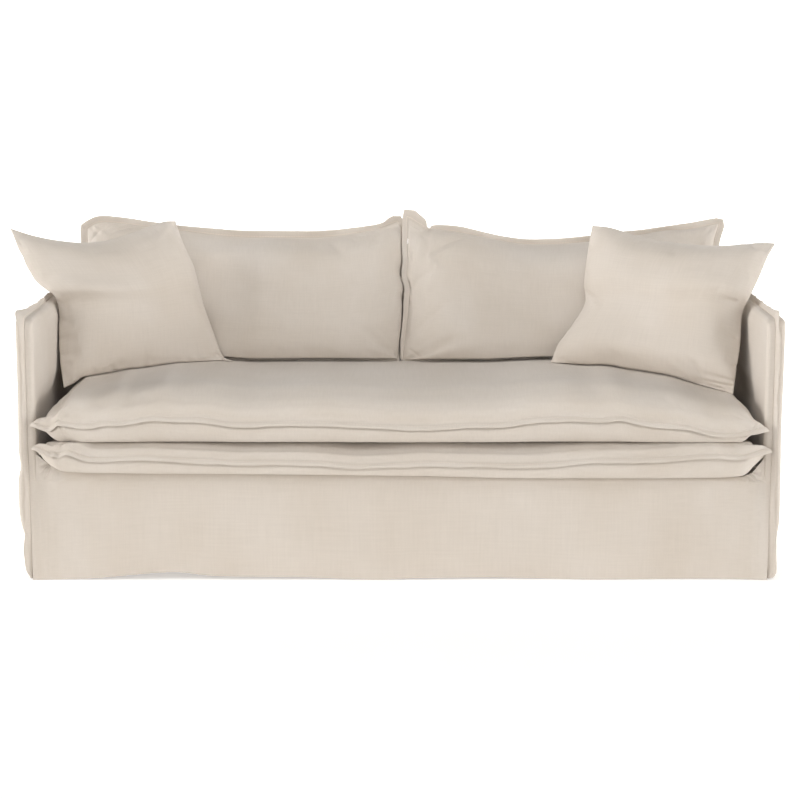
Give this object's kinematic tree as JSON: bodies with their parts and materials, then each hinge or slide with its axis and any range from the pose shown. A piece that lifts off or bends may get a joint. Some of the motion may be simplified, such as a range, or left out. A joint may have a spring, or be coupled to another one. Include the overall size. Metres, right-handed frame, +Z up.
{
  "type": "sofa slipcover set",
  "caption": "Loose linen slipcover set for a slim-armed sofa: hollow frame cover with floor-length skirt, flanged seams, covered seat, back and scatter cushions.",
  "frame": {"origin": "middle of the underside of the deck panel, midway between the arms and 0.45 m behind the front skirt, where the sofa frame carries the cover", "axes": "+X to the right seen from the front, +Y from the front towards the back, +Z up; the floor is at Z = -0.274"},
  "size_m": [2.092, 0.9904, 0.8951],
  "materials": {
    "linen": "matte washed linen"
  },
  "bodies": {
    "root": {"front_skirt": "linen", "deck": "linen", "arm_inside_left": "linen", "arm_inside_right": "linen", "arm_outside_left": "linen", "arm_outside_right": "linen", "arm_flange_left": "linen", "arm_flange_right": "linen", "back_inside": "linen", "back_outside": "linen", "back_flange": "linen", "seat_lower": "linen", "seat_lower_flange": "linen", "seat_upper": "linen", "seat_upper_flange": "linen", "back_cushion_left": "linen", "back_cushion_left_flange": "linen", "back_cushion_right": "linen", "back_cushion_right_flange": "linen", "scatter_cushion_left": "linen", "scatter_cushion_right": "linen"}
  },
  "joints": []
}
